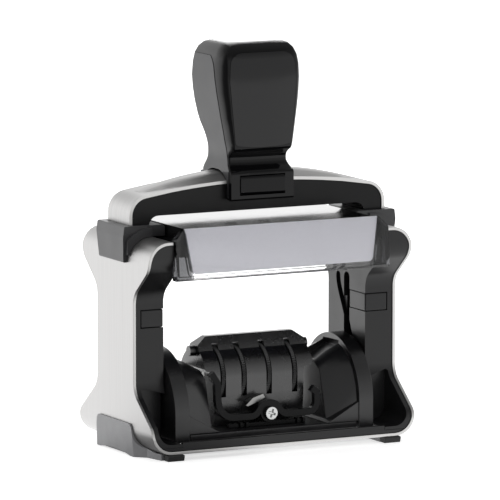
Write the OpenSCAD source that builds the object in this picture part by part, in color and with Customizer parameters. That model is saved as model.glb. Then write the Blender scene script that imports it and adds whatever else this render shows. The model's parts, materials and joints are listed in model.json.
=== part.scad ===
// Self-inking date stamp with a steel frame, shown pressed down and locked.
// Millimetres. X runs along the width, Y from front to back, Z up from the table.
// The origin is on the table, under the middle of the frame.

/* [Printing] */
// Length of the rubber text plate
text_w = 68; // [60:0.5:72]
// Depth of the rubber text plate, front to back
text_depth = 46; // [40:0.5:47]
// Thickness of the rubber text plate
text_t = 2.2; // [1.6:0.1:2.6]
// Thickness of the plastic plate behind the rubber
plate_t = 2.8; // [2:0.1:3.2]
// Height of the printing face above the table when the stamp is locked down
face_z = 3; // [2.5:0.1:5]
// Distance from the printing face up to the turning axis
face_drop = 12.5; // [11.5:0.1:14]

/* [Motion] */
// Stroke of the bow from locked down to fully up
stroke = 45; // [42:0.5:52]
// Gap left between the turned-up text plate and the ink pad
pad_gap = 2.8; // [2.6:0.1:4]
// Running clearance between pieces that slide on each other
slide_gap = 0.4; // [0.3:0.05:0.5]
// Clearance between pieces that are fixed together
fit_gap = 0.1; // [0.05:0.05:0.15]
// Radial clearance of a pin in its bore
pin_gap = 0.05; // [0.03:0.01:0.1]
// Diameter of the axle pins
axle_d = 4; // [3:0.1:4.4]
// Diameter of the cam pins
cam_pin_d = 3; // [2.4:0.1:3.4]
// Distance from the axle to the cam pin
cam_r = 7; // [6:0.1:8]
// Depth of the cam groove in the side wall
groove_depth = 1.4; // [1:0.1:1.7]

/* [Base frame] */
// Clear width between the two side walls
bay_w = 87; // [85:0.5:94]
// Thickness of each side wall
wall_t = 2.5; // [2.2:0.1:3.5]
// Thickness of the steel frame band
band_t = 1.2; // [0.8:0.1:1.5]
// Outer bending radius of the frame band
corner_r = 8.5; // [7:0.5:9]
// Height of the feet under the frame band
foot_h = 2.5; // [2:0.1:2.8]
// Depth of the front and rear rails beside the die opening
rail_w = 5; // [4.5:0.1:8]
// Free space between the swinging die and the rails
swing_gap = 0.9; // [0.6:0.1:2]
// Depth of the frame at its waist
waist_depth = 31.5; // [29:0.5:36]
// Height where the waist starts above the table
waist_low = 24.5; // [22:0.5:30]
// Height where the base starts to narrow towards the waist
flare_low = 11.5; // [11:0.1:14]
// How far below the shoulder top the waist ends
waist_drop = 21.5; // [20:0.5:26]
// How far below the shoulder top the shoulder reaches its full depth
flare_drop = 10; // [9:0.5:11]
// How far the plastic lies behind the steel edge
lip = 0.5; // [0.3:0.1:1]
// Thickness of the floor plate inside the band
floor_t = 1.2; // [1:0.1:1.6]
// Height of the plastic lip above the floor plate
rail_h = 1.8; // [1.2:0.1:3]

/* [Bow] */
// Width of each bow leg inside its column
leg_w = 7.3; // [6.6:0.1:9]
// Depth of the steel bow strip
bow_depth = 19; // [18:0.1:20]
// Thickness of the steel bow strip
bow_t = 1.2; // [0.8:0.1:1.6]
// Bending radius of the bow corners
bow_corner_r = 8; // [6:0.5:9]
// Radius of the shallow arch
arch_r = 300; // [240:5:420]
// Height of the arch from its underside to the top of the steel
arch_h = 12.2; // [11:0.1:14]
// Height of the crown along the middle of the arch
crown_h = 3.2; // [2:0.1:4]
// Gap between the collars and the arch when the stamp is locked down
arch_gap = 3; // [2:0.1:5]
// Outside diameter of the return springs
spring_d = 4; // [3.4:0.1:4.4]
// Wire diameter of the return springs
spring_wire = 0.7; // [0.5:0.05:0.9]
// Number of turns of each return spring
spring_turns = 14; // [8:1:16]

/* [Ink cartridge] */
// Height of the cartridge above the ink pad's face
cartridge_h = 7.7; // [7.2:0.1:10]
// Length of the ink pad
pad_w = 72; // [68:0.5:76]
// Depth of the window boxes, front to back
window_t = 4.2; // [4:0.1:5.5]
// Height of the window boxes
window_h = 19.8; // [17:0.1:21]
// How far the window boxes stand above the shoulders
window_rise = 4.8; // [4:0.1:6]
// Thickness of the clear front wall
window_wall = 1.4; // [1:0.1:1.8]
// Forward lean of the clear front wall at its foot
window_lean = 1.6; // [0:0.1:2]
// Thickness of the label cards
card_t = 0.4; // [0.3:0.05:0.5]

/* [Dater] */
// Height of the date wheel axle above the turning axis
wheel_rise = 11.3; // [10.8:0.1:11.8]
// Radius of the date wheels over their teeth
wheel_r = 11.4; // [11:0.1:11.8]
// Thickness of the toothed rim
wheel_t = 1.6; // [1.4:0.1:2.2]
// Number of teeth on a date wheel
wheel_teeth = 80; // [40:4:88]
// Radius of the dater housing over the wheels
housing_r = 10.8; // [10.4:0.1:11]
// Wall of the dater housing
housing_wall = 1.8; // [1.4:0.1:2]
// Half length of the dater housing
housing_half = 19; // [18.6:0.1:20]

/* [Handle] */
// Height of the handle above the steel arch
handle_h = 52.4; // [46:0.2:60]
// Largest half width of the handle
handle_half_w = 17.4; // [16:0.1:19]
// Distance from the bow's middle to the handle's front face
handle_front = 14.2; // [13:0.1:15]
// Distance from the bow's middle to the handle's back
handle_back = 14.2; // [12:0.1:16]
// Thickness of the soft grip panels and the front panel
panel_t = 1.2; // [0.9:0.1:1.5]
// Travel of the lock button
button_travel = 1.4; // [1:0.1:1.6]

/* [Hidden] */
$fn = 48;
// segments in each rounded corner of an outline
corner_steps = 8;
eps = 0.01;
far = 400;

// places along Z, from the table up
pivot_z = face_z + face_drop;
pad_z = pivot_z + stroke + face_drop + pad_gap;
frame_h = pad_z + cartridge_h;
waist_high = frame_h - waist_drop;
flare_high = frame_h - flare_drop;
floor_z = foot_h + band_t + fit_gap;
housing_z = floor_z + floor_t + fit_gap;
leg_floor = housing_z + 1.1;
leg_bottom = pivot_z - 6;
window_top = frame_h + window_rise;
window_low = window_top - window_h;
collar_top = window_top - 0.3;
collar_low = flare_high + 0.6;
arch_low = collar_top + arch_gap;
arch_top = arch_low + arch_h;
wheel_z = pivot_z + wheel_rise;

// places along X, from the middle out
wall_in = bay_w / 2;
wall_out = wall_in + wall_t;
leg_in = wall_out + slide_gap;
leg_out = leg_in + leg_w;
bow_half = leg_out + bow_t;
band_in = bow_half + slide_gap;
frame_half = band_in + band_t;
shoulder_in = wall_out;
collar_half = frame_half + 2.2;
foot_out = frame_half + 0.8;
cheek_out = wall_in - 0.8;

// places along Y, from the middle out
swing_r = norm([text_depth / 2, face_drop]);
opening_half = swing_r + swing_gap;
base_half = opening_half + rail_w;
waist_half = waist_depth / 2;
window_in = swing_r + 1.2;
window_out = window_in + window_t;
shoulder_half = window_out - 2.2;
bow_y = bow_depth / 2;
leg_y = bow_y - lip;
channel_y = bow_y + slide_gap;

// General shapes

// a box between two opposite corners
module box(low, high) {
    translate(low) cube(high - low);
}

// an outline drawn in X and Z, extruded from y0 to y1
module along_y(y0, y1) {
    translate([0, y1, 0]) rotate([90, 0, 0]) linear_extrude(y1 - y0) children();
}

// an outline drawn in Y and Z, extruded from x0 to x1
module along_x(x0, x1) {
    translate([x0, 0, 0]) rotate([90, 0, 90]) linear_extrude(x1 - x0) children();
}

// a round bar along X
module rod_x(x0, x1, y, z, r) {
    translate([x0, y, z]) rotate([0, 90, 0]) cylinder(h = x1 - x0, r = r);
}

// a round bar along Y
module rod_y(y0, y1, x, z, r) {
    translate([x, y1, z]) rotate([90, 0, 0]) cylinder(h = y1 - y0, r = r);
}

// the children and their mirror image across the middle of the width
module both_sides() {
    children();
    mirror([1, 0, 0]) children();
}

// the children and their mirror image from front to back
module front_and_back() {
    children();
    mirror([0, 1, 0]) children();
}

function unit(v) = v / norm(v);

// the arc that rounds the corner at b between a and c
function corner_arc(a, b, c, r, steps) =
    let (u = unit(a - b), v = unit(c - b))
    let (half = acos(u * v) / 2)
    let (reach = min(r / tan(half), 0.49 * norm(a - b), 0.49 * norm(c - b)))
    let (radius = reach * tan(half))
    let (centre = b + unit(u + v) * radius / sin(half))
    let (from = b + u * reach - centre, to = b + v * reach - centre)
    let (start = atan2(from.y, from.x), finish = atan2(to.y, to.x))
    let (turn = (finish - start + 540) % 360 - 180)
    [for (i = [0 : steps])
        centre + radius * [cos(start + turn * i / steps), sin(start + turn * i / steps)]];

// an outline from corners given as [x, y, radius]
function rounded(corners, steps = corner_steps) =
    let (n = len(corners))
    let (flat = [for (p = corners) [p[0], p[1]]])
    [for (i = [0 : n - 1])
        each corners[i][2] > 0
            ? corner_arc(flat[(i + n - 1) % n], flat[i], flat[(i + 1) % n], corners[i][2], steps)
            : [flat[i]]];

// an outline that is the same on both sides of its vertical axis, from its right half
function mirrored(half) =
    concat(half, [for (i = [len(half) - 1 : -1 : 0]) len(half[i]) > 2
        ? [-half[i][0], half[i][1], half[i][2]] : [-half[i][0], half[i][1]]]);

// Steel frame band and the plastic base

// front outline of the frame, drawn in X and Z, moved inwards by inset
function frame_outline(inset) = rounded(mirrored([
    [frame_half - inset, foot_h + inset, corner_r - inset],
    [frame_half - inset, frame_h - inset, corner_r - inset]
]));

// side outline of the frame, drawn in Y and Z: deep at base and shoulders, narrow at the waist
function side_outline(inset) = rounded(mirrored([
    [base_half - inset, 0, 0],
    [base_half - inset, flare_low, 6],
    [waist_half - inset, waist_low, 8],
    [waist_half - inset, waist_high, 8],
    [shoulder_half - inset, flare_high, 9],
    [shoulder_half - inset, frame_h, 0]
]));

module frame_solid(inset) {
    along_y(-base_half, base_half) polygon(frame_outline(inset));
}

module frame_side(inset) {
    along_x(-frame_half, frame_half) polygon(side_outline(inset));
}

// steel strip bent round the frame, open between the shoulders
module base_band() {
    leg_cut = channel_y + fit_gap;
    color("silver") difference() {
        intersection() {
            frame_solid(0);
            frame_side(0);
        }
        along_y(-base_half - 1, base_half + 1) polygon(frame_outline(band_t));
        box([-shoulder_in, -far, frame_h - 2 * band_t], [shoulder_in, far, frame_h + 1]);
        box([-wall_in, -opening_half, 0], [wall_in, opening_half, frame_h / 2]);
        both_sides()
            box([shoulder_in - 1, -leg_cut, frame_h - corner_r], [frame_half + 1, leg_cut, frame_h + 1]);
    }
}

// plastic floor plate with the die opening and a lip along its front and rear rails
module base_floor() {
    rail_front = base_half - lip;
    color("dimgray") difference() {
        union() {
            intersection() {
                frame_solid(band_t + fit_gap);
                frame_side(lip);
                box([-far, -far, 0], [far, far, floor_z + floor_t]);
            }
            front_and_back()
                box([-wall_in + fit_gap, -rail_front, floor_z + eps],
                    [wall_in - fit_gap, -rail_front + 1.6, floor_z + floor_t + rail_h]);
        }
        box([-wall_in, -opening_half, 0], [wall_in, opening_half, floor_z + 2 * floor_t]);
    }
}

// centre line of the cam pin through the stroke, from the turning axis and the lift
function cam_point(share) =
    let (turn = 180 * share)
    [-cam_r * cos(turn), pivot_z + stroke * share + cam_r * sin(turn)];

// outline of a groove of the given half width along the cam pin's path, with round ends
function cam_outline(half, steps = 24, end_steps = 8) =
    let (path = [for (i = [0 : steps]) cam_point(i / steps)])
    let (along = [for (i = [0 : steps]) unit(path[min(i + 1, steps)] - path[max(i - 1, 0)])])
    let (side = [for (d = along) [-d.y, d.x] * half])
    let (first = atan2(side[0].y, side[0].x), last = atan2(side[steps].y, side[steps].x))
    concat(
        [for (i = [0 : steps]) path[i] + side[i]],
        [for (i = [1 : end_steps - 1])
            let (a = last - 180 * i / end_steps) path[steps] + half * [cos(a), sin(a)]],
        [for (i = [steps : -1 : 0]) path[i] - side[i]],
        [for (i = [1 : end_steps - 1])
            let (a = first + 180 - 180 * i / end_steps) path[0] + half * [cos(a), sin(a)]]);

// plug that closes the gate through which the axle enters its slot
slot_half = axle_d / 2 + 0.3;
key_low = pivot_z + 33.6;
key_h = 7;
key_out = leg_out - 0.6;
module key_shape(gap, tongue_end) {
    front = waist_half - lip + 1;
    box([wall_in - 1, -front, key_low - gap], [wall_out - fit_gap + gap, -tongue_end, key_low + key_h + gap]);
    box([wall_in - 1, -front, key_low - gap], [key_out + gap, -channel_y - 1 + gap, key_low + key_h + gap]);
}

module guide_key() {
    color("dimgray") intersection() {
        key_shape(0, slot_half);
        box([wall_in, -waist_half + lip, 0], [frame_half, 0, frame_h]);
    }
}

// runner groove of the ink cartridge, along Y in the side wall
runner_h = 2.4;
runner_z = pad_z + 2.6;
module runner_groove(gap) {
    box([wall_in - 1, -far, runner_z - gap],
        [wall_in + groove_depth, window_in - 2, runner_z + runner_h + gap]);
}

// moulded column that guides one bow leg, with the axle slot and the cam groove in its wall
module side_housing() {
    pocket_in = waist_half - 3;
    color("dimgray") difference() {
        intersection() {
            frame_solid(band_t + fit_gap);
            frame_side(lip);
            box([wall_in, -far, housing_z], [frame_half, far, frame_h - band_t - fit_gap]);
        }
        box([wall_out, -channel_y, leg_floor], [frame_half, channel_y, frame_h]);
        along_x(wall_in - 1, wall_out + 1) polygon(rounded(mirrored([
            [slot_half, pivot_z - slot_half, slot_half],
            [slot_half, pivot_z + stroke + slot_half, slot_half]])));
        along_x(wall_in - 1, wall_in + groove_depth)
            polygon(cam_outline(cam_pin_d / 2 + 0.25));
        runner_groove(0);
        key_shape(fit_gap, 0);
        front_and_back() {
            box([wall_in - 1, -far, window_low - 0.2], [wall_out - 0.3, -window_in + 0.3, frame_h]);
            along_y(-far, -pocket_in) polygon(rounded([
                [wall_in - 1, housing_z + 1.2, 0],
                [leg_out - 0.4, housing_z + 1.2, corner_r - 3],
                [leg_out - 0.4, waist_low + 1.9, 1],
                [wall_in - 1, waist_low - 1.3, 0]]));
        }
    }
}

// dark collar that guides the bow leg and caps the cut in the steel shoulder, with a proud skirt
module collar() {
    half_y = channel_y + 1.9;
    color("gray") difference() {
        union() {
            intersection() {
                along_y(-half_y, half_y) polygon(rounded([
                    [wall_in - 2.5, frame_h + fit_gap, 0],
                    [wall_in - 2.5, collar_top, 1.5],
                    [collar_half - 0.5, collar_top, 0.6],
                    [collar_half, collar_top - 4, 6],
                    [collar_half - 0.6, collar_low, 0.6],
                    [frame_half - 2, collar_low, 0]]));
                along_x(0, far) polygon(mirrored([
                    [half_y - 1.2, 0], [half_y - 1.2, collar_low], [half_y, collar_top - 3], [half_y, far]]));
            }
            intersection() {
                along_y(-half_y - 0.9, half_y + 0.9) polygon(frame_outline(-3.4));
                box([wall_out + 0.8, -far, collar_low + 3], [frame_half + 0.8, far, collar_top - 1]);
            }
        }
        along_y(-far, far) polygon(frame_outline(-fit_gap));
        box([leg_in - slide_gap, -channel_y, 0], [band_in, channel_y, far]);
    }
}

// corner foot: a cheek on the outside of the band that runs down into a plate under it
toe_in = base_half - 3.8;
toe_out = frame_half - 6.5;
toe_shift = 5.2;
module foot() {
    half_y = waist_half - 0.4;
    foot_top = flare_low + 1;
    plate_h = foot_h - fit_gap;
    plan = [[foot_out, half_y], [foot_out - 4.6, half_y + 4.4],
        [toe_out, base_half - toe_shift], [wall_in - 0.5, base_half - toe_shift],
        [wall_in - 0.5, -base_half], [toe_out, -base_half],
        [foot_out - 4.6, -half_y - 4.4], [foot_out, -half_y]];
    side = rounded(mirrored([
        [base_half + 1, 0, 0], [base_half + 1, plate_h, 0], [half_y + 9, plate_h, 8],
        [half_y + 1.2, plate_h + 2, 5], [half_y - 0.8, foot_top, 2.4]]));
    color("gray") difference() {
        intersection() {
            linear_extrude(foot_top) polygon(plan);
            along_x(0, far) polygon(side);
            along_y(-far, far) polygon([
                [wall_in - 0.5, 0], [foot_out - 0.7, 0], [foot_out, foot_top],
                [frame_half - 3, foot_top], [frame_half - 6, plate_h], [wall_in - 0.5, plate_h]]);
        }
        along_y(-far, far) polygon(frame_outline(-fit_gap));
        box([0, -far, -1], [far, -toe_in, far]);
        box([0, toe_in - toe_shift, -1], [far, far, far]);
        rod_x(frame_half - 1.5, far, 0, -70, 71.2);
    }
}

// rubber toes at the ends of the foot plates, the rear ones a little further in
module rubber_toe() {
    along_x(wall_in - 0.5, toe_out) polygon(rounded([
        [-toe_in - fit_gap, 0, 0],
        [-toe_in - fit_gap, foot_h - fit_gap, 0],
        [-base_half - 0.9, foot_h - fit_gap, 0.5],
        [-base_half - 0.3, 0, 0.5]]));
}

module rubber_toes() {
    color("black") both_sides() {
        rubber_toe();
        translate([0, -toe_shift, 0]) mirror([0, 1, 0]) rubber_toe();
    }
}

// Return springs

// a coil from z0 to z1 about a vertical axis, as one closed tube
module coil(x, z0, z1, turns, radius, wire) {
    rings = 8 * turns;
    sides = 6;
    points = [for (i = [0 : rings], j = [0 : sides - 1])
        let (turn = 360 * turns * i / rings, around = 360 * j / sides)
        let (reach = radius + wire / 2 * cos(around))
        [x + reach * cos(turn), reach * sin(turn),
            z0 + (z1 - z0) * i / rings + wire / 2 * sin(around)]];
    walls = [for (i = [0 : rings - 1], j = [0 : sides - 1])
        let (a = i * sides + j, b = i * sides + (j + 1) % sides)
        each [[a, b, b + sides], [a, b + sides, a + sides]]];
    first = [for (j = [1 : sides - 2]) [0, j + 1, j]];
    last = [for (j = [1 : sides - 2]) [rings * sides, rings * sides + j, rings * sides + j + 1]];
    polyhedron(points, concat(walls, first, last));
}

spring_bore = spring_d / 2 + 0.3;
spring_x = leg_in + 2.1 + spring_bore;
spring_top = pivot_z + 50.8;
module return_spring() {
    color("silver")
        coil(spring_x, leg_floor + spring_wire / 2 + fit_gap, spring_top - spring_wire / 2 - fit_gap,
            spring_turns, (spring_d - spring_wire) / 2, spring_wire);
}

// Windows, cards and the ink cartridge

window_half = wall_out - 0.5;
window_chamfer = 4;
card_half = wall_in - 2.1;
card_taper = 2.7;
card_low = window_low + 2.5;

// front face of the leaning window at height z
function lean_at(z) = -window_out + window_lean * (z - window_low) / window_h;

// half width of the label card at height z
function card_edge(z) = card_half - card_taper * (window_top - z) / (window_top - card_low);

// prism of the card's outline between two leaning planes, given as distances behind the clear face
module card_slab(front, back, top, gap) {
    low = card_low - gap;
    intersection() {
        along_x(-window_half, window_half) polygon([
            [lean_at(low) + front, low], [lean_at(top) + front, top],
            [lean_at(top) + back, top], [lean_at(low) + back, low]]);
        along_y(-far, 0) polygon(rounded(mirrored([
            [card_edge(low) + gap, low, 2], [card_edge(top) + gap, top, 0]])));
    }
}

// front outline of the window, moved inwards by inset and carried up to high
function window_outline(inset, high) =
    let (half = window_half - inset, slant = half + window_top - window_chamfer - inset * (sqrt(2) - 1))
    [[-half, window_low + inset], [half, window_low + inset], [half, slant - half], [slant - high, high],
        [high - slant, high], [-half, slant - half]];

// thin clear cover with chamfered top corners, open at the back, with rails round the card
module window_box() {
    rail = 1.2;
    difference() {
        intersection() {
            along_x(-window_half, window_half) polygon([
                [lean_at(window_low), window_low + 1], [lean_at(window_top - 2), window_top - 2],
                [lean_at(window_top) + 0.8, window_top],
                [-window_in, window_top], [-window_in, window_low], [lean_at(window_low) + 1, window_low]]);
            along_y(-far, 0) polygon(window_outline(0, window_top));
        }
        difference() {
            intersection() {
                along_x(-window_half, window_half) polygon([
                    [lean_at(window_low) + window_wall, window_low],
                    [lean_at(window_top + 1) + window_wall, window_top + 1],
                    [0, window_top + 1], [0, window_low]]);
                along_y(-far, 0) polygon(window_outline(window_wall, window_top + 1));
            }
            card_slab(0, window_wall + 1.6, window_top, fit_gap + rail);
        }
        card_slab(window_wall, window_t + 1, window_top + 1, fit_gap);
    }
}

// label card against the inside of the clear face
module card() {
    card_slab(window_wall + fit_gap, window_wall + fit_gap + card_t, window_top - 0.4, 0);
}

module front_window() {
    color("white", 0.4) window_box();
}

module front_card() {
    color("lightgray") card();
}

module rear_window() {
    color("white", 0.4) mirror([0, 1, 0]) window_box();
}

module rear_card() {
    color("whitesmoke") mirror([0, 1, 0]) card();
}

// tray that carries the ink pad on two runners, with a hood between the collars and the plate
// that backs the front card
tray_half = wall_in - 1.2;
tray_low = pad_z + 1;
tray_y = window_in - 0.5;
hood_half = wall_in - 3.1;
hood_top = window_top - 0.4;
pad_y = text_depth / 2 - 0.4;
pad_top = hood_top - 2.4;
module cartridge_tray() {
    runner_out = wall_in + groove_depth - slide_gap;
    backing = window_wall + 2 * fit_gap + card_t;
    color("dimgray") difference() {
        union() {
            box([-tray_half, -window_in + fit_gap, tray_low], [tray_half, tray_y, pad_z + cartridge_h - 0.4]);
            box([-hood_half, -window_in + fit_gap, tray_low], [hood_half, tray_y, hood_top]);
            both_sides() box([tray_half - 1, -window_in + 3, runner_z + slide_gap],
                [runner_out, window_in - 3, runner_z + runner_h - slide_gap]);
            difference() {
                card_slab(backing, window_t + 1, hood_top, 0);
                box([-far, -window_in + 0.5, 0], [far, far, far]);
            }
        }
        box([-pad_w / 2 - fit_gap, -pad_y - fit_gap, 0], [pad_w / 2 + fit_gap, pad_y + fit_gap, pad_top]);
    }
}

// felt ink pad, face down
module ink_pad() {
    color("midnightblue")
        box([-pad_w / 2, -pad_y, pad_z], [pad_w / 2, pad_y, pad_top - fit_gap]);
}

// Bow

// height of the arch at distance x from the middle, lowered by drop
function arch_z(x, drop) = arch_top - arch_r + sqrt(arch_r * arch_r - x * x) - drop;

// outer outline of the bow from one leg over the arch to the other, moved in by inset
function bow_line(inset, low) =
    let (edge = bow_half - inset, reach = edge - 17)
    rounded(concat(
        [[edge, low, 0], [edge, arch_z(edge, inset), bow_corner_r - inset]],
        [for (i = [8 : -1 : -8]) [reach * i / 8, arch_z(reach * i / 8, inset), 0]],
        [[-edge, arch_z(edge, inset), bow_corner_r - inset], [-edge, low, 0]]));

// drop of the crown from its ridge at share t of the strip's half depth, with a flat middle
function crown_drop(t) = 1.15 * crown_h * pow(max(abs(t) - 0.2, 0) / 0.8, 2);

// low crown of the strip along the arch: a body of revolution that ends before the corners
module arch_crown() {
    reach = bow_half - bow_corner_r;
    sag = arch_r - sqrt(arch_r * arch_r - reach * reach) + crown_h;
    ridge_r = (reach * reach + sag * sag) / (2 * sag);
    shares = [-1, -0.8, -0.6, -0.4, -0.2, 0.2, 0.4, 0.6, 0.8, 1];
    profile = [for (t = shares) [ridge_r - crown_drop(t), t * bow_y]];
    intersection() {
        translate([0, 0, arch_top + crown_h - ridge_r]) rotate([90, 0, 0])
            rotate_extrude($fn = 240) polygon(concat([[0, bow_y], [0, -bow_y]], profile));
        difference() {
            box([-reach, -bow_y + 0.05, arch_low], [reach, bow_y - 0.05, far]);
            along_y(-far, far) polygon(bow_line(bow_t / 2, arch_low - 1));
        }
    }
}

// steel strip over the arch and down both legs
module bow_band() {
    strip_low = leg_bottom + 4.5;
    outer = bow_line(0, strip_low);
    inner = bow_line(bow_t, strip_low);
    color("silver") difference() {
        union() {
            along_y(-bow_y, bow_y)
                polygon(concat(outer, [for (i = [len(inner) - 1 : -1 : 0]) inner[i]]));
            arch_crown();
        }
        handle_screw_holes();
    }
}

// plastic arch and legs inside the steel strip
module bow_frame() {
    outer = bow_line(bow_t + fit_gap / 2, leg_bottom);
    inner = rounded([
        [-leg_in, leg_bottom, 0], [-leg_in, arch_low, 4], [leg_in, arch_low, 4], [leg_in, leg_bottom, 0]]);
    color("dimgray") difference() {
        along_y(-leg_y, leg_y) polygon(concat(outer, inner));
        both_sides() {
            translate([spring_x, 0, leg_bottom - 1])
                cylinder(h = spring_top - leg_bottom + 1, r = spring_bore);
            rod_x(leg_in - 1, leg_in + 1.8, 0, pivot_z, axle_d / 2 + pin_gap);
        }
        handle_screw_holes();
        handle_screw_heads(2.6);
    }
}

// Handle

screw_x = 7;
screw_r = 1.5;
screw_head_r = 2.6;
module handle_screw_holes() {
    both_sides() translate([screw_x, 0, arch_low - 1]) cylinder(h = arch_h + 9, r = screw_r + pin_gap);
}

module handle_screw_heads(height) {
    both_sides() translate([screw_x, 0, arch_low - eps]) cylinder(h = height, r = screw_head_r + fit_gap);
}

// screws through the arch into the handle
module handle_screws() {
    head_h = 2;
    color("silver") both_sides() translate([screw_x, 0, arch_low + 0.6 - fit_gap]) difference() {
        union() {
            cylinder(h = head_h, r = screw_head_r);
            cylinder(h = arch_h + 6.5, r = screw_r);
        }
        for (turn = [0, 90]) rotate(turn) box([-1.5, -0.35, -1], [1.5, 0.35, 0.9]);
    }
}

// stations of the handle: height share, then half width of the side and of the front face,
// distance to the front, to the front bevel and to the back, as shares of the largest
handle_stations = [
    [-0.004, 0.770, 0.759, 0.876, 0.845, 0.915],
    [0.030, 0.770, 0.759, 0.876, 0.845, 0.908],
    [0.048, 0.770, 0.757, 0.872, 0.842, 0.885],
    [0.066, 0.762, 0.738, 0.830, 0.800, 0.855],
    [0.085, 0.744, 0.705, 0.740, 0.712, 0.828],
    [0.103, 0.726, 0.682, 0.684, 0.645, 0.800],
    [0.122, 0.715, 0.669, 0.652, 0.606, 0.768],
    [0.143, 0.714, 0.664, 0.642, 0.596, 0.735],
    [0.160, 0.720, 0.665, 0.657, 0.598, 0.708],
    [0.178, 0.729, 0.669, 0.702, 0.604, 0.684],
    [0.194, 0.739, 0.676, 0.790, 0.612, 0.660],
    [0.206, 0.747, 0.684, 0.872, 0.620, 0.643],
    [0.217, 0.755, 0.690, 0.935, 0.627, 0.630],
    [0.232, 0.766, 0.696, 0.970, 0.634, 0.620],
    [0.260, 0.785, 0.706, 0.980, 0.636, 0.614],
    [0.290, 0.804, 0.716, 0.981, 0.634, 0.635],
    [0.325, 0.822, 0.728, 0.981, 0.631, 0.690],
    [0.360, 0.839, 0.741, 0.980, 0.627, 0.770],
    [0.400, 0.862, 0.755, 0.977, 0.621, 0.856],
    [0.454, 0.891, 0.770, 0.974, 0.613, 0.922],
    [0.550, 0.937, 0.799, 0.967, 0.599, 0.985],
    [0.645, 0.977, 0.828, 0.960, 0.570, 1.003],
    [0.740, 1.000, 0.851, 0.946, 0.528, 1.000],
    [0.836, 0.994, 0.851, 0.925, 0.472, 0.958],
    [0.875, 0.975, 0.838, 0.903, 0.449, 0.935],
    [0.903, 0.960, 0.828, 0.883, 0.430, 0.918],
    [0.950, 0.897, 0.782, 0.805, 0.394, 0.852],
    [0.985, 0.799, 0.701, 0.678, 0.352, 0.745],
    [1.000, 0.661, 0.598, 0.523, 0.317, 0.600]];

// width of the rounded edge at the back of the handle
back_edge = 1.8;

// point at share t along the curve from a to c that bends towards b
function bend(a, b, c, t) = (1 - t) * (1 - t) * a + 2 * t * (1 - t) * b + t * t * c;

// one ring of the handle, grown outwards by grow
function handle_ring(s, grow) =
    let (z = arch_top + handle_h * s[0])
    let (w = handle_half_w * s[1] + grow, a = handle_half_w * s[2] + grow / 2)
    let (f = -handle_front * s[3] - grow, c = -handle_front * s[4], r = handle_back * s[5] + grow)
    let (b = w - back_edge * 1.2, d = r - back_edge)
    let (pull = [w * 0.985, f + 0.12 * (c - f)])
    let (right = concat(
        [[a * 0.35, f - 0.9], [a * 0.75, f - 0.45]],
        [for (t = [0 : 0.25 : 1]) bend([a, f], pull, [w, c], t)],
        [for (t = [0 : 0.5 : 1]) bend([w, d], [w, r], [b, r], t)],
        [[b * 0.5, r + 0.4]]))
    [for (p = concat(right, [for (i = [len(right) - 1 : -1 : 0]) [-right[i].x, right[i].y]])) [p.x, p.y, z]];

// the lofted handle above the saddle
module handle_loft(grow) {
    rings = [for (s = handle_stations) handle_ring(s, grow)];
    n = len(rings[0]);
    top = len(rings) - 1;
    lifted = concat(
        [for (p = rings[0]) p - [0, 0, grow]],
        [for (i = [1 : top - 1]) each rings[i]],
        [for (p = rings[top]) p + [0, 0, grow]]);
    walls = [for (i = [0 : top - 1], j = [0 : n - 1])
        let (a = i * n + j, b = i * n + (j + 1) % n)
        each [[a, b + n, b], [a, a + n, b + n]]];
    low_cap = [for (j = [1 : n - 2]) [0, j, j + 1]];
    high_cap = [for (j = [1 : n - 2]) [top * n, top * n + j + 1, top * n + j]];
    polyhedron(lifted, concat(walls, low_cap, high_cap));
}

// saddle that sits over the arch, with a front skirt for the lock button
saddle_half = 13.4;
saddle_front = handle_front * 0.93;
saddle_low = arch_top - 8.2;
module saddle(grow) {
    along_x(-saddle_half - grow, saddle_half + grow) polygon(rounded([
        [-saddle_front - grow, saddle_low, 0.8],
        [handle_back * 0.915 + grow, saddle_low + 3.8, 0.8],
        [handle_back * 0.915 + grow, arch_top + 1.4, 0.5],
        [-saddle_front - grow, arch_top + 3.2, 1.2]], 4));
}

// region of a grip panel, drawn in Y and Z: from the front bevel to the back edge, grown by gap
module grip_region(gap) {
    used = [for (s = handle_stations) if (s[0] > 0.05 && s[0] < 0.92) s];
    front = [for (s = used)
        [-handle_front * s[4] + 0.3 + 330 * pow(max(s[0] - 0.8, 0), 2), arch_top + handle_h * s[0]]];
    back = [for (i = [len(used) - 1 : -1 : 0])
        [handle_back * used[i][5] - back_edge - 0.3, arch_top + handle_h * used[i][0]]];
    along_x(0, far) offset(delta = gap) polygon(concat(
        [[front[0].x, saddle_low + 1]], front, back, [[back[len(back) - 1].x, saddle_low + 4.4]]));
}

// core left between the two grip panels, drawn in X and Z
module grip_core(inset) {
    along_y(-far, far) polygon(rounded(mirrored(concat(
        [[saddle_half - inset, saddle_low - 1, 0]],
        [for (s = handle_stations) if (s[0] > 0)
            [handle_half_w * s[1] - inset, arch_top + handle_h * s[0], 0]]))));
}

// room for the arch under the saddle
module arch_channel() {
    along_y(-bow_y - fit_gap, bow_y + fit_gap) polygon(bow_line(-fit_gap, arch_low - 5));
    along_x(-saddle_half - 1, saddle_half + 1) polygon(concat(
        [[bow_y, arch_top - 1], [-bow_y, arch_top - 1]],
        [for (t = [-1 : 0.2 : 1]) [t * bow_y, arch_top + crown_h - crown_drop(t) + fit_gap]]));
}

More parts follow.
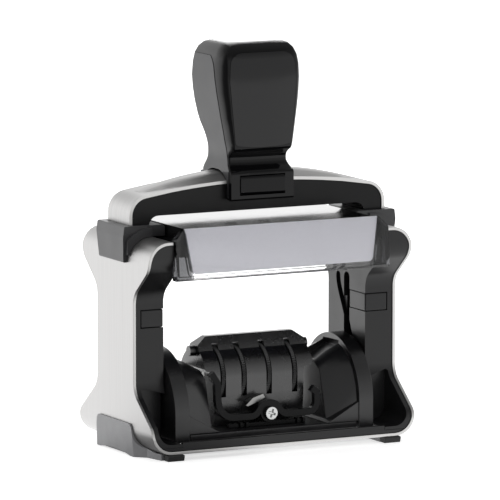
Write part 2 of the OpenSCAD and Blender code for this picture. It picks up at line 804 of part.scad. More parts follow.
// black handle body, with pockets for its panels, the button and the arch
module handle_body() {
    color("black") difference() {
        union() {
            handle_loft(0);
            saddle(0);
        }
        arch_channel();
        both_sides() difference() {
            grip_region(fit_gap);
            grip_core(panel_t + fit_gap);
        }
        difference() {
            panel_region(fit_gap);
            handle_loft(-panel_t - fit_gap);
        }
        box([-top_half_x - fit_gap, -top_front - fit_gap, card_z - fit_gap],
            [top_half_x + fit_gap, top_back + fit_gap, far]);
        box([-button_half - fit_gap, -far, button_low - fit_gap],
            [button_half + fit_gap, -bow_y, button_low + button_h + fit_gap]);
        handle_screw_holes();
    }
}

// soft side panel let into the handle
module grip() {
    color("gray") difference() {
        intersection() {
            union() {
                handle_loft(0.2);
                saddle(0.2);
            }
            grip_region(0);
        }
        grip_core(panel_t);
        arch_channel();
    }
}

// glossy panel let into the front of the handle
module panel_region(gap) {
    z0 = arch_top;
    w = handle_half_w;
    along_y(-far, -handle_front * 0.5) offset(delta = gap) polygon(rounded(mirrored([
        [0.02, z0 + handle_h * 0.236, 0],
        [w * 0.36, z0 + handle_h * 0.240, 0],
        [w * 0.69, z0 + handle_h * 0.254, 1.5],
        [w * 0.815, z0 + handle_h * 0.72, 6],
        [w * 0.78, z0 + handle_h * 0.93, 5]]), 4));
}

module front_panel() {
    color("black") difference() {
        intersection() {
            handle_loft(0.15);
            panel_region(0);
        }
        handle_loft(-panel_t);
    }
}

// label card and its clear cover in the top of the handle
top_half_x = handle_half_w * 0.74;
top_front = handle_front * 0.69;
top_back = handle_back * 0.62;
card_z = arch_top + handle_h - 1.9;
module top_card() {
    color("white") box([-top_half_x, -top_front, card_z], [top_half_x, top_back, card_z + card_t]);
}

module top_window() {
    color("white", 0.5) intersection() {
        box([-top_half_x, -top_front, card_z + card_t + fit_gap / 2], [top_half_x, top_back, far]);
        handle_loft(0.1);
    }
}

// lock button in the front skirt
button_half = 9.6;
button_h = 7.6;
button_low = arch_top - 6;
module lock_button() {
    back = bow_y + button_travel + 0.4;
    color("black") intersection() {
        along_y(-far, -back) polygon(rounded(mirrored([
            [button_half, button_low, 1], [button_half, button_low + button_h, 1]]), 4));
        along_x(-far, far) polygon(rounded([
            [-saddle_front - 0.5, button_low, 1.5], [-saddle_front - 0.5, button_low + button_h, 1.5],
            [0, button_low + button_h, 0], [0, button_low, 0]], 4));
    }
}

// Die and its cheeks

text_half = text_w / 2;
plate_half = text_half + 2;
plate_z = face_z + text_t;
plate_top = plate_z + plate_t;
housing_end = 1.2;
date_half_x = housing_half - housing_end;
date_half_y = 4.6;

// rubber text plate with the window for the date
module text_plate() {
    color("dimgray") difference() {
        box([-text_half, -text_depth / 2, face_z], [text_half, text_depth / 2, plate_z - fit_gap / 2]);
        box([-date_half_x, -date_half_y, 0], [date_half_x, date_half_y, plate_top]);
    }
}

// plastic plate behind the rubber
module die_plate() {
    color("dimgray") difference() {
        box([-plate_half, -text_depth / 2, plate_z], [plate_half, text_depth / 2, plate_top]);
        box([-date_half_x, -date_half_y, 0], [date_half_x, date_half_y, far]);
    }
}

cheek_r = swing_r - 2.4;
cheek_in = housing_half + 5.6;
disc_in = cheek_out - 6.2;
pin_in = disc_in - 1;

// thin slice of the cheek's sloping body at x, from the corners of one half
module cheek_slice(x, corners) {
    along_x(x - eps, x) polygon(mirrored(corners));
}

// end of the die: a plate round the turning axis, a body that slopes to the middle,
// a gusset along its foot and a recess between two rails in its sloping top
module cheek() {
    low = plate_top + fit_gap;
    body_r = cheek_r - 1.6;
    inner_top = pivot_z + 14.5;
    run = disc_in + 1 - cheek_in;
    rise = pivot_z + body_r - inner_top;
    color("dimgray") difference() {
        union() {
            rod_x(disc_in, cheek_out, 0, pivot_z, cheek_r);
            box([disc_in, -cheek_r, plate_z], [cheek_out, cheek_r, pivot_z]);
            hull() {
                cheek_slice(disc_in + 1, concat([[body_r, low]],
                    [for (a = [0 : 16 : 80]) [body_r * cos(a), pivot_z + body_r * sin(a)]]));
                cheek_slice(cheek_in, [[cheek_r - 4.8, low], [13.2, inner_top - 2.6], [9, inner_top]]);
            }
            along_y(-cheek_r + 0.6, cheek_r - 0.6) polygon([
                [disc_in + 1, low], [disc_in + 1, pivot_z], [disc_in, pivot_z], [cheek_in - 1.4, low]]);
        }
        box([0, -far, -far], [far, far, plate_z]);
        box([0, -far, 0], [plate_half + fit_gap, far, low]);
        translate([cheek_in, 0, inner_top]) rotate([0, -atan2(rise, run), 0])
            box([1.6, -6.4, -2.8], [norm([rise, run]) - 1.2, 6.4, 9]);
        rod_x(pin_in, far, 0, pivot_z, axle_d / 2 + pin_gap);
        rod_x(cheek_out - 2.5, far, -cam_r, pivot_z, cam_pin_d / 2 + pin_gap);
    }
}

// steel pins from the cheeks through the side walls into the bow legs
module axle_pins() {
    color("silver") both_sides()
        rod_x(pin_in + fit_gap, leg_in + 1.8 - slide_gap, 0, pivot_z, axle_d / 2);
}

// steel pins that run in the cam grooves
module cam_pins() {
    color("silver") both_sides()
        rod_x(cheek_out - 2.5 + fit_gap, wall_in + groove_depth - 0.2, -cam_r, pivot_z, cam_pin_d / 2);
}

// Dater

// places of the toothed rims, and on which side of each its band drum stands
wheel_x = [-15.7, -6.7, 4.1, 15.2];
drum_side = [1, 1, 1, -1];
drum_w = 3.2;
drum_r = 6.5;
belt_r = drum_r + 0.2;
belt_t = 1.2;
nose_r = 1;
nose_z = face_z + belt_t + nose_r + fit_gap;
shaft_r = 1.5;
ear_half = housing_half + 4.5;
strap_y = 15;
strap_t = 2.4;
clamp_x = 1;
clamp_z = pivot_z - 2.5;

// middle of the band drum of wheel i
function drum_x(i) = wheel_x[i] + drum_side[i] * (wheel_t + drum_w) / 2;

// side outline of the dater housing: upright walls, round over the wheels, a narrow ridge on top
function dater_outline(r, low, ridge) = rounded(mirrored(concat(
    [[r * 0.9, low, 0], [r, wheel_z - 7, 3]],
    [for (a = [0 : 8.125 : 65]) [r * cos(a), wheel_z + r * sin(a), 0]],
    [[r * 0.32, wheel_z + r + ridge * 0.25, 0], [r * 0.14, wheel_z + r + ridge, 0]])));

// housing over the date wheels: a shell with ears, a slot for each toothed rim and a shaft stub each side
ridge_h = 4.3;
module dater_housing() {
    low = plate_top + fit_gap;
    top = wheel_z + housing_r + ridge_h;
    stub_z = wheel_z + 9.6;
    slot_w = wheel_t + 0.7;
    color("dimgray") difference() {
        union() {
            intersection() {
                along_x(-far, far) polygon(dater_outline(housing_r, low, ridge_h));
                along_y(-far, far) polygon(rounded(mirrored([
                    [housing_half, low, 0], [housing_half, wheel_z + 2.6, 2], [ear_half, wheel_z + 2.6, 1.6],
                    [ear_half - 0.6, top - 3, 0], [ear_half - 4.8, top, 0]])));
            }
            rod_x(-ear_half - 1.8, ear_half + 1.8, 0, stub_z, 2);
        }
        along_x(-date_half_x, date_half_x)
            polygon(dater_outline(housing_r - housing_wall, low - 1, 0.8));
        for (x = wheel_x) {
            rod_x(x - slot_w / 2, x + slot_w / 2, 0, wheel_z, wheel_r + 1.3);
            box([x - slot_w / 2, -wheel_r - 2, wheel_z - 7.6], [x + slot_w / 2, wheel_r + 2, wheel_z]);
        }
        rod_x(-far, far, 0, wheel_z, shaft_r + pin_gap);
    }
}

// steel shaft of the date wheels
module wheel_axle() {
    color("silver") rod_x(-housing_half, housing_half, 0, wheel_z, shaft_r);
}

// date wheel i: a toothed rim and the drum of its band
module date_wheel(i) {
    x = wheel_x[i];
    rim = [for (k = [0 : 2 * wheel_teeth - 1])
        let (r = wheel_r - (k % 2) * 0.55, a = 180 * k / wheel_teeth) r * [cos(a), sin(a)]];
    color("dimgray") difference() {
        union() {
            translate([0, 0, wheel_z]) along_x(x - wheel_t / 2, x + wheel_t / 2) polygon(rim);
            rod_x(drum_x(i) - drum_w / 2 - eps, drum_x(i) + drum_w / 2, 0, wheel_z, drum_r);
        }
        rod_x(-far, far, 0, wheel_z, shaft_r + pin_gap);
    }
}

// outline of a belt round a large circle at height z1 and a small one at z2
function belt_outline(r1, z1, r2, z2, steps = 16) =
    let (tilt = -asin((r1 - r2) / (z1 - z2)))
    concat(
        [for (i = [0 : steps]) let (a = tilt + (180 - 2 * tilt) * i / steps) [r1 * cos(a), z1 + r1 * sin(a)]],
        [for (i = [0 : steps / 2])
            let (a = 180 - tilt + (180 + 2 * tilt) * i / steps * 2) [r2 * cos(a), z2 + r2 * sin(a)]]);

// rubber band i, from its drum down round the anvil
module date_band(i) {
    half = drum_w / 2 - 0.1;
    r2 = nose_r + fit_gap;
    color("dimgray") difference() {
        along_x(drum_x(i) - half, drum_x(i) + half)
            polygon(belt_outline(belt_r + belt_t, wheel_z, r2 + belt_t, nose_z));
        along_x(drum_x(i) - half - 1, drum_x(i) + half + 1)
            polygon(belt_outline(belt_r, wheel_z, r2, nose_z));
    }
}

// bar with a rounded nose that the bands run round at the printing face
module band_anvil() {
    top = wheel_z - wheel_r - 0.4;
    color("gray") union() {
        rod_x(-date_half_x + fit_gap, date_half_x - fit_gap, 0, nose_z, nose_r);
        box([-date_half_x + fit_gap, -nose_r, nose_z], [date_half_x - fit_gap, nose_r, top]);
    }
}

// a ribbon of even width along an open path with rounded corners, given as [x, y, radius]
function ribbon(corners, half) =
    let (n = len(corners))
    let (flat = [for (p = corners) [p[0], p[1]]])
    let (path = concat([flat[0]],
        [for (i = [1 : n - 2]) each corner_arc(flat[i - 1], flat[i], flat[i + 1], corners[i][2], 6)],
        [flat[n - 1]]))
    let (m = len(path) - 1)
    let (side = [for (i = [0 : m])
        let (d = unit(path[min(i + 1, m)] - path[max(i - 1, 0)])) [-d.y, d.x] * half])
    concat([for (i = [0 : m]) path[i] + side[i]], [for (i = [m : -1 : 0]) path[i] - side[i]]);

// strap in front of the housing, with a hump over its screw and ribs on its foot
module clamp_frame() {
    z = pivot_z;
    low = plate_top + fit_gap;
    left = -housing_half - 2.6;
    valley = low + 4;
    color("dimgray") difference() {
        union() {
            along_y(-strap_y - strap_t, -strap_y) polygon(ribbon([
                [left - 2.4, z + 14.4, 0], [left + 0.3, z + 10.4, 3], [left + 0.9, valley, 7],
                [clamp_x - 6, valley, 4], [clamp_x - 2.6, clamp_z + 3.6, 3],
                [clamp_x + 2.6, clamp_z + 3.6, 3], [clamp_x + 6, valley, 4],
                [-left, valley, 6], [-left, z + 4, 1.6], [-left - 2.2, z + 5.8, 0]], 1.3));
            rod_y(-strap_y - strap_t, -strap_y, clamp_x, clamp_z, 3.8);
            for (x = [left + 10.1, left + 12.6, -left - 8.6, -left - 6.1])
                box([x - 0.45, -strap_y - strap_t - 0.6, low], [x + 0.45, -strap_y, low + 2]);
            box([left + 5, -strap_y - strap_t + 0.4, low], [-left - 5, -strap_y, low + 1.5]);
        }
        rod_y(-far, 0, clamp_x, clamp_z, 1.4 + pin_gap);
    }
}

// cross-head screw of the strap
module clamp_screw() {
    front = strap_y + strap_t + fit_gap;
    color("silver") difference() {
        union() {
            rod_y(-front - 1.7, -front, clamp_x, clamp_z, 2.5);
            rod_y(-front - eps, -strap_y + 1.6, clamp_x, clamp_z, 1.4);
        }
        translate([clamp_x, 0, clamp_z]) for (turn = [20, 110]) rotate([0, turn, 0])
            box([-1.6, -front - 2, -0.35], [1.6, -front - 0.8, 0.35]);
    }
}

// small bright leaf behind the strap beside its screw, on a stem from the housing
module tension_clip() {
    leaf = [[-9, 0.6], [-6, 3.3], [-1.6, 4.6], [-0.8, 3.2], [-3.5, 1.8], [-8.2, 0.2]];
    color("silver") translate([clamp_x, 0, pivot_z]) union() {
        along_y(-strap_y + fit_gap, -strap_y + 0.8) polygon(leaf);
        along_y(-strap_y + fit_gap, -housing_r - fit_gap)
            polygon(ribbon([[-7.6, 1.3, 0], [-5, 2.6, 8], [-2, 3.4, 0]], 0.5));
    }
}

// Left and right pieces

module left_side_housing() { mirror([1, 0, 0]) side_housing(); }
module right_side_housing() { side_housing(); }
module left_guide_key() { mirror([1, 0, 0]) guide_key(); }
module right_guide_key() { guide_key(); }
module left_collar() { mirror([1, 0, 0]) collar(); }
module right_collar() { collar(); }
module left_foot() { mirror([1, 0, 0]) foot(); }
module right_foot() { foot(); }
module left_return_spring() { mirror([1, 0, 0]) return_spring(); }
module right_return_spring() { return_spring(); }
module left_grip() { mirror([1, 0, 0]) grip(); }
module right_grip() { grip(); }
module left_cheek() { mirror([1, 0, 0]) cheek(); }
module right_cheek() { cheek(); }

base_band();
base_floor();
left_side_housing();
right_side_housing();
left_guide_key();
right_guide_key();
left_collar();
right_collar();
left_foot();
right_foot();
rubber_toes();
rear_window();
rear_card();
left_return_spring();
right_return_spring();
cartridge_tray();
ink_pad();
front_window();
front_card();
bow_band();
bow_frame();
handle_body();
left_grip();
right_grip();
front_panel();
top_card();
top_window();
handle_screws();
lock_button();
die_plate();
text_plate();
left_cheek();
right_cheek();
axle_pins();
cam_pins();
dater_housing();
clamp_frame();
clamp_screw();
tension_clip();
wheel_axle();
band_anvil();
date_band(0);  // date_band_1
date_band(1);  // date_band_2
date_band(2);  // date_band_3
date_band(3);  // date_band_4
date_wheel(0);  // date_wheel_1
date_wheel(1);  // date_wheel_2
date_wheel(2);  // date_wheel_3
date_wheel(3);  // date_wheel_4
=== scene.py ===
"""Self-inking date stamp: finishes and fine pieces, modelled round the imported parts."""
import json
import math

import bpy
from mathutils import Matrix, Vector

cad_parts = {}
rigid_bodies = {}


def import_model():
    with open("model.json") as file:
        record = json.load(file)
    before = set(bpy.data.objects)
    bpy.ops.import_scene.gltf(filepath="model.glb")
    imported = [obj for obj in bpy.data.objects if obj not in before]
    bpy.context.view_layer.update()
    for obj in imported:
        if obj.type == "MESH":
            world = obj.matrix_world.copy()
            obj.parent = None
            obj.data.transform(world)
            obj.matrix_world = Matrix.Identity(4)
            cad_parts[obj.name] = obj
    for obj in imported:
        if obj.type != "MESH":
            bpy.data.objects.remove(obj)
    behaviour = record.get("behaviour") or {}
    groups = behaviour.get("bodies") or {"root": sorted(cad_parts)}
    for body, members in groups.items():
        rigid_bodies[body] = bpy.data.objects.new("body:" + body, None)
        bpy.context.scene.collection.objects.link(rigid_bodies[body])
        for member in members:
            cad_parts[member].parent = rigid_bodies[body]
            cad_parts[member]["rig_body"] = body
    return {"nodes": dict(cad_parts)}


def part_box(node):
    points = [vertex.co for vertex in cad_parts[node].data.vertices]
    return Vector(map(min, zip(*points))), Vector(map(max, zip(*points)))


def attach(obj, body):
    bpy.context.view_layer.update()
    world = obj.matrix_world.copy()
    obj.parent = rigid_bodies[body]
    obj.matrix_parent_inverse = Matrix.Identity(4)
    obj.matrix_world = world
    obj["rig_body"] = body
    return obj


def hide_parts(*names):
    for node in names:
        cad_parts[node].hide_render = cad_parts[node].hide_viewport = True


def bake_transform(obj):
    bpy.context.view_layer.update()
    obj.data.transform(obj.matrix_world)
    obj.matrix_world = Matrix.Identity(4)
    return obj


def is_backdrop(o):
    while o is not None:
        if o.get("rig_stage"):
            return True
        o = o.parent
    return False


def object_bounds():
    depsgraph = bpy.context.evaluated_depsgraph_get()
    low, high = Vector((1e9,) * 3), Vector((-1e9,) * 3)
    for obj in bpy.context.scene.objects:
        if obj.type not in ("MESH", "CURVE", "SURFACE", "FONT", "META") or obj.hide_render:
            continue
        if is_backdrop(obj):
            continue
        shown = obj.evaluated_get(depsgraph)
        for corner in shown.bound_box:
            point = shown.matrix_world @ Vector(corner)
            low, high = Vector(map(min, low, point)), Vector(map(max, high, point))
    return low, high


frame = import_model()
cad_low, cad_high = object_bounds()

# Camera
# The photograph is taken from the front left and a little above, with a long lens that
# keeps upright edges nearly parallel. The picture is 193 mm wide at the stamp.
turn = math.radians(27)
tilt = math.radians(8)
look_at = Vector((0.0013, 0, 0.0739))
camera_reach = 2.4
picture_width = 0.1927
away = Vector((-math.sin(turn) * math.cos(tilt), -math.cos(turn) * math.cos(tilt), math.sin(tilt)))
camera_place = look_at + camera_reach * away
bpy.ops.object.camera_add(location=camera_place, rotation=(math.pi / 2 - tilt, 0, -turn))
camera = bpy.context.object
camera.data.sensor_width = 36
camera.data.lens = camera.data.sensor_width * camera_reach / picture_width
camera.data.clip_end = 50
bpy.context.scene.camera = camera


# Base band
# The stamp stands in one stainless strip, bent round the base and open between the shoulders.
# The strip is brushed along its length, and its cut edges are broken and carry a painted highlight
# that makes them bright.
def softened(name, edge, steps=2, sharp=30):
    """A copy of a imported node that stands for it: flat facets joined, edges rounded.

    Slits of a few thousandths of a millimetre that the rounding can leave are closed."""
    weld = 2e-6
    flat = math.radians(0.8)
    slit_sides = 8
    bpy.ops.object.select_all(action="DESELECT")
    node = frame["nodes"][name]
    piece = bpy.data.objects.new(name + "_shell", node.data.copy())
    bpy.context.scene.collection.objects.link(piece)
    piece.select_set(True)
    bpy.context.view_layer.objects.active = piece
    bpy.ops.object.mode_set(mode="EDIT")
    bpy.ops.mesh.select_all(action="SELECT")
    bpy.ops.mesh.remove_doubles(threshold=weld)
    bpy.ops.mesh.dissolve_limited(angle_limit=flat)
    bpy.ops.object.mode_set(mode="OBJECT")
    if edge > 0:
        rounding = piece.modifiers.new("rounding", "BEVEL")
        rounding.width = edge
        rounding.segments = steps
        rounding.limit_method = "ANGLE"
        rounding.angle_limit = math.radians(sharp)
        bpy.ops.object.modifier_apply(modifier="rounding")
        bpy.ops.object.mode_set(mode="EDIT")
        bpy.ops.mesh.select_all(action="SELECT")
        bpy.ops.mesh.fill_holes(sides=slit_sides)
        bpy.ops.object.mode_set(mode="OBJECT")
    bpy.ops.object.shade_smooth_by_angle(angle=math.radians(sharp))
    even = piece.modifiers.new("even", "WEIGHTED_NORMAL")
    even.keep_sharp = True
    bpy.ops.object.modifier_apply(modifier="even")
    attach(piece, node["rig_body"])
    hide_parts(name)
    return piece


def finish_with(piece, material):
    """Gives a piece one material."""
    piece.data.materials.clear()
    piece.data.materials.append(material)


def grain(material, stretch, detail=3.0):
    """Noise on Object coordinates with so many waves a metre along each axis."""
    tree = material.node_tree
    place = tree.nodes.new("ShaderNodeTexCoord")
    fit = tree.nodes.new("ShaderNodeMapping")
    fit.inputs["Scale"].default_value = stretch
    noise = tree.nodes.new("ShaderNodeTexNoise")
    noise.inputs["Scale"].default_value = 1.0
    noise.inputs["Detail"].default_value = detail
    tree.links.new(place.outputs["Object"], fit.inputs["Vector"])
    tree.links.new(fit.outputs["Vector"], noise.inputs["Vector"])
    return noise.outputs["Fac"]


noise_low = 0.3
noise_high = 0.7


def vary(material, value, socket, low, high):
    """Lets a noise drive a number of the shader between two values."""
    tree = material.node_tree
    fit = tree.nodes.new("ShaderNodeMapRange")
    fit.inputs["From Min"].default_value = noise_low
    fit.inputs["From Max"].default_value = noise_high
    fit.inputs["To Min"].default_value = low
    fit.inputs["To Max"].default_value = high
    tree.links.new(value, fit.inputs["Value"])
    tree.links.new(fit.outputs["Result"], tree.nodes["Principled BSDF"].inputs[socket])


def tint(material, value, dark, light):
    """Lets a noise drive the colour between two close shades."""
    tree = material.node_tree
    shades = tree.nodes.new("ShaderNodeValToRGB")
    shades.color_ramp.elements[0].position = noise_low
    shades.color_ramp.elements[1].position = noise_high
    shades.color_ramp.elements[0].color = (*dark, 1)
    shades.color_ramp.elements[1].color = (*light, 1)
    tree.links.new(value, shades.inputs["Fac"])
    tree.links.new(shades.outputs["Color"], tree.nodes["Principled BSDF"].inputs["Base Color"])


def relief(material, value, depth, strength):
    """Raises a noise off the surface as bump."""
    tree = material.node_tree
    bump = tree.nodes.new("ShaderNodeBump")
    bump.inputs["Distance"].default_value = depth
    bump.inputs["Strength"].default_value = strength
    tree.links.new(value, bump.inputs["Height"])
    tree.links.new(bump.outputs["Normal"], tree.nodes["Principled BSDF"].inputs["Normal"])


def brushed_steel(name, dark, light, smooth, rough, cut):
    """Stainless strip brushed along its length, so the lines vary only across it.

    The sheared edges, which face the front and the back, carry a painted highlight: their colour is
    lighter than the faces'."""
    material = bpy.data.materials.new(name)
    material.use_nodes = True
    tree = material.node_tree
    shader = tree.nodes["Principled BSDF"]
    shader.inputs["Metallic"].default_value = 1.0
    shader.inputs["Anisotropic"].default_value = 0.3
    lines = grain(material, (25, 3500, 25), 5.0)
    tint(material, lines, dark, light)
    vary(material, lines, "Roughness", smooth, rough)
    relief(material, lines, 0.00004, 0.25)
    # Painted highlight: faces turned to the front or the back take the lighter edge colour.
    faces = tree.nodes.new("ShaderNodeTexCoord")
    sides = tree.nodes.new("ShaderNodeSeparateXYZ")
    forward = tree.nodes.new("ShaderNodeMath")
    forward.operation = "ABSOLUTE"
    edge = tree.nodes.new("ShaderNodeMapRange")
    edge.inputs["From Min"].default_value = 0.4
    edge.inputs["From Max"].default_value = 0.8
    shades = tree.nodes.new("ShaderNodeMix")
    shades.data_type = "RGBA"
    shades.inputs["B"].default_value = (*cut, 1)
    tree.links.new(faces.outputs["Normal"], sides.inputs["Vector"])
    tree.links.new(sides.outputs["Y"], forward.inputs[0])
    tree.links.new(forward.outputs["Value"], edge.inputs["Value"])
    tree.links.new(edge.outputs["Result"], shades.inputs["Factor"])
    tree.links.new(shader.inputs["Base Color"].links[0].from_socket, shades.inputs["A"])
    tree.links.new(shades.outputs["Result"], shader.inputs["Base Color"])
    return material


# Lighter colour painted on the sheared edges as a highlight.
painted_edge_highlight = (0.60, 0.596, 0.588)
frame_dark = (0.41, 0.406, 0.403)
frame_light = (0.48, 0.476, 0.473)
frame_steel = brushed_steel("frame_steel", frame_dark, frame_light, 0.36, 0.46, painted_edge_highlight)
finish_with(softened("base_band", 0.0002), frame_steel)


# Base floor, side housings and guide keys
# The inside of the base is moulded in black: a floor frame, a column at each end with
# the curved track that turns the die, and a plug that closes each track.
def moulded_black(name, shade, smooth, rough, shine=0.5):
    """Black moulding with a fine matt skin and a slight cloudiness."""
    material = bpy.data.materials.new(name)
    material.use_nodes = True
    shader = material.node_tree.nodes["Principled BSDF"]
    shader.inputs["IOR"].default_value = 1.56
    shader.inputs["Specular IOR Level"].default_value = shine
    clouds = grain(material, (120, 120, 120), 4.0)
    tint(material, clouds, tuple(0.85 * c for c in shade), tuple(1.15 * c for c in shade))
    vary(material, clouds, "Roughness", smooth, rough)
    relief(material, grain(material, (5200, 5200, 5200), 2.0), 0.00003, 0.3)
    return material


# The black pieces are one plastic, but each has its own shade and shine, set one by one to the grey
# level it shows under this light: the differences in shade are painted light and shade, and the
# base's shade is lifted a little to lighten its shaded inner corners.
base_black = moulded_black("base_black", (0.009, 0.009, 0.0096), 0.30, 0.38, 0.32)
finish_with(softened("base_floor", 0.0006, 3), base_black)
for name in ("_side_housing", "_guide_key"):
    for side in ("left", "right"):
        finish_with(softened(side + name, 0.0006, 3), base_black)

# Collars, feet and toes
# A collar on each shoulder guides the bow, and a foot clips round each lower end.
# Both are matt mouldings, the feet in grey, and small rubber toes keep the stamp from slipping.
collar_black = moulded_black("collar_black", (0.035, 0.035, 0.037), 0.34, 0.42, 0.42)
foot_grey = moulded_black("foot_grey", (0.25, 0.25, 0.258), 0.34, 0.42, 0.35)
for side in ("left", "right"):
    finish_with(softened(side + "_collar", 0.0005, 3), collar_black)
    finish_with(softened(side + "_foot", 0.0005, 3), foot_grey)

toe_rubber = moulded_black("toe_rubber", (0.018, 0.018, 0.018), 0.7, 0.8)
finish_with(softened("rubber_toes", 0.0003), toe_rubber)


# Return springs
# A coil of bright wire stands in each leg of the bow and lifts it off the paper.
# Its foot rests on the floor of the base and its head goes up with the bow.
def bright_wire(name, colour, smooth, rough):
    """Drawn or plated metal with faint streaks."""
    material = bpy.data.materials.new(name)
    material.use_nodes = True
    shader = material.node_tree.nodes["Principled BSDF"]
    shader.inputs["Metallic"].default_value = 1.0
    streaks = grain(material, (900, 900, 900), 3.0)
    tint(material, streaks, tuple(0.92 * c for c in colour), colour)
    vary(material, streaks, "Roughness", smooth, rough)
    return material


spring_wire = bright_wire("spring_wire", (0.66, 0.66, 0.65), 0.18, 0.28)
wire = 0.0007
wire_sides = 10
turns = 20
steps_a_turn = 24
for side in ("left", "right"):
    low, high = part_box(side + "_return_spring")
    middle = (low + high) / 2
    bpy.ops.object.select_all(action="DESELECT")
    upright = (math.pi / 2, 0, 0)
    bpy.ops.mesh.primitive_circle_add(vertices=wire_sides, radius=wire / 2, rotation=upright)
    coil = bpy.context.object
    coil.name = side + "_coil"
    bpy.ops.object.transform_apply(rotation=True)
    bpy.ops.object.mode_set(mode="EDIT")
    bpy.ops.mesh.select_all(action="SELECT")
    bpy.ops.transform.translate(value=((high.x - low.x - wire) / 2, 0, low.z + wire / 2))
    bpy.ops.object.mode_set(mode="OBJECT")
    winding = coil.modifiers.new("winding", "SCREW")
    winding.iterations = turns
    winding.steps = steps_a_turn
    winding.render_steps = steps_a_turn
    winding.screw_offset = (high.z - low.z - wire) / turns
    bpy.ops.object.modifier_apply(modifier="winding")
    coil.location = (middle.x, middle.y, 0)
    bpy.ops.object.transform_apply(location=True)
    bpy.ops.object.mode_set(mode="EDIT")
    bpy.ops.mesh.select_all(action="SELECT")
    bpy.ops.mesh.fill_holes(sides=wire_sides)
    bpy.ops.mesh.normals_make_consistent(inside=False)
    bpy.ops.object.mode_set(mode="OBJECT")
    bpy.ops.object.shade_smooth_by_angle(angle=math.radians(60))
    finish_with(coil, spring_wire)
    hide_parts(side + "_return_spring")
    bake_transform(coil)


# Ink cartridge
# A shallow black tray slides in under the bow with its pad facing down.
# The clear front of the tray is also the finger pull and covers a plain card.
def polished_black(name, shade, smooth, rough, shine=0.5):
    """Black moulding from a polished tool, very slightly wavy."""
    material = bpy.data.materials.new(name)
    material.use_nodes = True
    shader = material.node_tree.nodes["Principled BSDF"]
    shader.inputs["IOR"].default_value = 1.5
    shader.inputs["Specular IOR Level"].default_value = shine
    waves = grain(material, (70, 70, 70), 2.0)
    tint(material, waves, tuple(0.9 * c for c in shade), tuple(1.1 * c for c in shade))
    vary(material, waves, "Roughness", smooth, rough)
    relief(material, waves, 0.0001, 0.06)
    return material


tray_black = polished_black("tray_black", (0.006, 0.006, 0.0065), 0.08, 0.13)
finish_with(softened("cartridge_tray", 0.0003), tray_black)

inked_felt = bpy.data.materials.new("inked_felt")
inked_felt.use_nodes = True
inked_felt.node_tree.nodes["Principled BSDF"].inputs["Roughness"].default_value = 0.85
fibres = grain(inked_felt, (2600, 2600, 2600), 6.0)
tint(inked_felt, fibres, (0.010, 0.011, 0.022), (0.034, 0.036, 0.065))
relief(inked_felt, fibres, 0.0003, 0.8)
pad_edge = 0.0008
pad_crown = 0.0004
low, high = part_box("ink_pad")
bpy.ops.object.select_all(action="DESELECT")
bpy.ops.mesh.primitive_cube_add(size=1, location=(low + high) / 2, scale=high - low)
pad = bpy.context.object
pad.name = "felt_pad"
bpy.ops.object.transform_apply(location=True, scale=True)
bpy.ops.object.mode_set(mode="EDIT")
bpy.ops.mesh.select_all(action="SELECT")
bpy.ops.mesh.bevel(offset=pad_edge, segments=3, affect="EDGES")
bpy.ops.mesh.subdivide(number_cuts=6)
bpy.ops.object.mode_set(mode="OBJECT")
for point in pad.data.vertices:
    across = 1 - (2 * (point.co.x - low.x) / (high.x - low.x) - 1) ** 4
    along = 1 - (2 * (point.co.y - low.y) / (high.y - low.y) - 1) ** 4
    if point.co.z < (low.z + high.z) / 2:
        point.co.z += pad_crown * (1 - across * along)
bpy.ops.object.shade_smooth_by_angle(angle=math.radians(40))
finish_with(pad, inked_felt)
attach(pad, "cartridge")
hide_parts("ink_pad")


def clear_plastic(name, shade, smooth, rough):
    """Polished clear moulding with hairline scratches, which lets the lamps through."""
    material = bpy.data.materials.new(name)
    material.use_nodes = True
    tree = material.node_tree
    shader = tree.nodes["Principled BSDF"]
    shader.inputs["Base Color"].default_value = (*shade, 1)
    shader.inputs["Transmission Weight"].default_value = 1.0
    shader.inputs["IOR"].default_value = 1.49
    vary(material, grain(material, (40, 900, 900), 3.0), "Roughness", smooth, rough)
    rays = tree.nodes.new("ShaderNodeLightPath")
    passing = tree.nodes.new("ShaderNodeBsdfTransparent")
    choice = tree.nodes.new("ShaderNodeMixShader")
    tree.links.new(rays.outputs["Is Shadow Ray"], choice.inputs["Fac"])
    tree.links.new(shader.outputs["BSDF"], choice.inputs[1])
    tree.links.new(passing.outputs["BSDF"], choice.inputs[2])
    tree.links.new(choice.outputs["Shader"], tree.nodes["Material Output"].inputs["Surface"])
    return material


def card_stock(name, dark, light):
    """Smooth card with the faint mottle of its fibres."""
    material = bpy.data.materials.new(name)
    material.use_nodes = True
    shader = material.node_tree.nodes["Principled BSDF"]
    shader.inputs["Roughness"].default_value = 0.8
    mottle = grain(material, (1400, 1400, 1400), 5.0)
    tint(material, mottle, dark, light)
    relief(material, mottle, 0.00004, 0.4)
    return material


window_clear = clear_plastic("window_clear", (0.95, 0.952, 0.956), 0.01, 0.05)
# Dark clear plastic on the window rims and ends: painted shade for the dark parts seen through
# them.
window_painted_shade = clear_plastic("window_painted_shade", (0.12, 0.121, 0.127), 0.05, 0.15)
pale_card = card_stock("pale_card", (0.59, 0.585, 0.635), (0.64, 0.635, 0.685))
white_card = card_stock("white_card", (0.72, 0.72, 0.72), (0.79, 0.79, 0.79))


